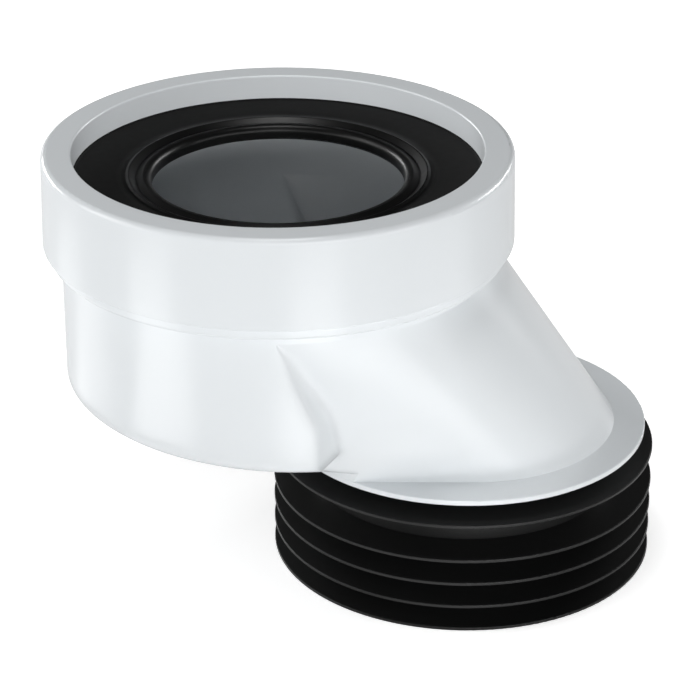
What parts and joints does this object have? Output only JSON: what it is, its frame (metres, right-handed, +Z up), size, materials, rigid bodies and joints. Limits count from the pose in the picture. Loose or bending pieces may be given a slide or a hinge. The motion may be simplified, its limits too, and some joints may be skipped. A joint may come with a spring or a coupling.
{
  "type": "offset toilet pan connector",
  "caption": "Offset pan connector: wide white socket with a black rubber inlet seal, a slanting duct to one side, and a short flanged spigot wrapped in a black finned seal.",
  "frame": {"origin": "on the outlet axis, in the plane of the finned seal's lower end, which the connector stands on", "axes": "+Z up along the outlet axis, +X from the socket axis towards the outlet axis, +Y across the plane of symmetry"},
  "size_m": [0.174, 0.1324, 0.1228],
  "materials": {
    "white_plastic": "glossy moulded",
    "black_rubber": "satin"
  },
  "bodies": {
    "root": {"connector_body": "white_plastic", "retaining_cap": "white_plastic", "inlet_seal": "black_rubber", "outlet_fin_seal": "black_rubber"}
  },
  "joints": []
}
